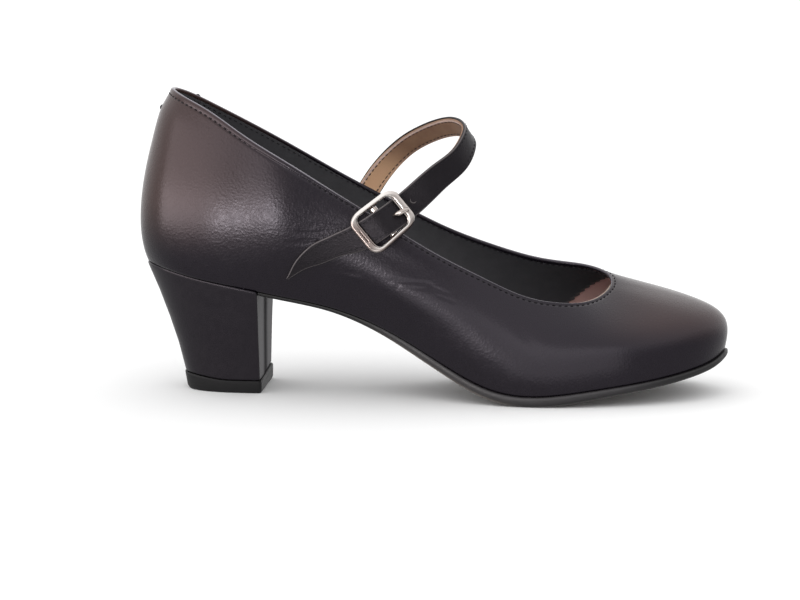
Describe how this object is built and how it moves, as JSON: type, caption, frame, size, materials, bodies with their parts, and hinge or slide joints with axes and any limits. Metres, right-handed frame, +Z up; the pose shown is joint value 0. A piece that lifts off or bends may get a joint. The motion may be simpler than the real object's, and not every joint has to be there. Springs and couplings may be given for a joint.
{
  "type": "flamenco shoe",
  "caption": "Right-foot leather dance shoe with a closed round toe, covered block heel, instep strap and buckle.",
  "frame": {"origin": "on the floor, under the middle of the shoe's bounding box", "axes": "+X towards the toe, +Y towards the medial (inner) side of the right foot, +Z up"},
  "size_m": [0.2388, 0.0772, 0.1226],
  "materials": {
    "upper_leather": "smooth black leather, soft sheen",
    "strap_leather": "smooth black leather, stitched edges",
    "black_lining": "matte black lining",
    "tan_lining": "natural tan lining leather",
    "sole_leather": "black-dyed sole leather",
    "heel_cover": "black leather wrapped round the heel block",
    "top_lift": "hard black rubber",
    "buckle_metal": "satin nickel",
    "elastic": "black woven elastic",
    "thread": "black sewing thread"
  },
  "bodies": {
    "root": {"upper": "upper_leather", "insole": "black_lining", "outsole": "sole_leather", "heel": "heel_cover", "heel_top_lift": "top_lift", "instep_strap": "strap_leather", "buckle_frame": "buckle_metal", "buckle_prong": "buckle_metal", "buckle_clip": "buckle_metal", "buckle_chape": "elastic"}
  },
  "joints": []
}
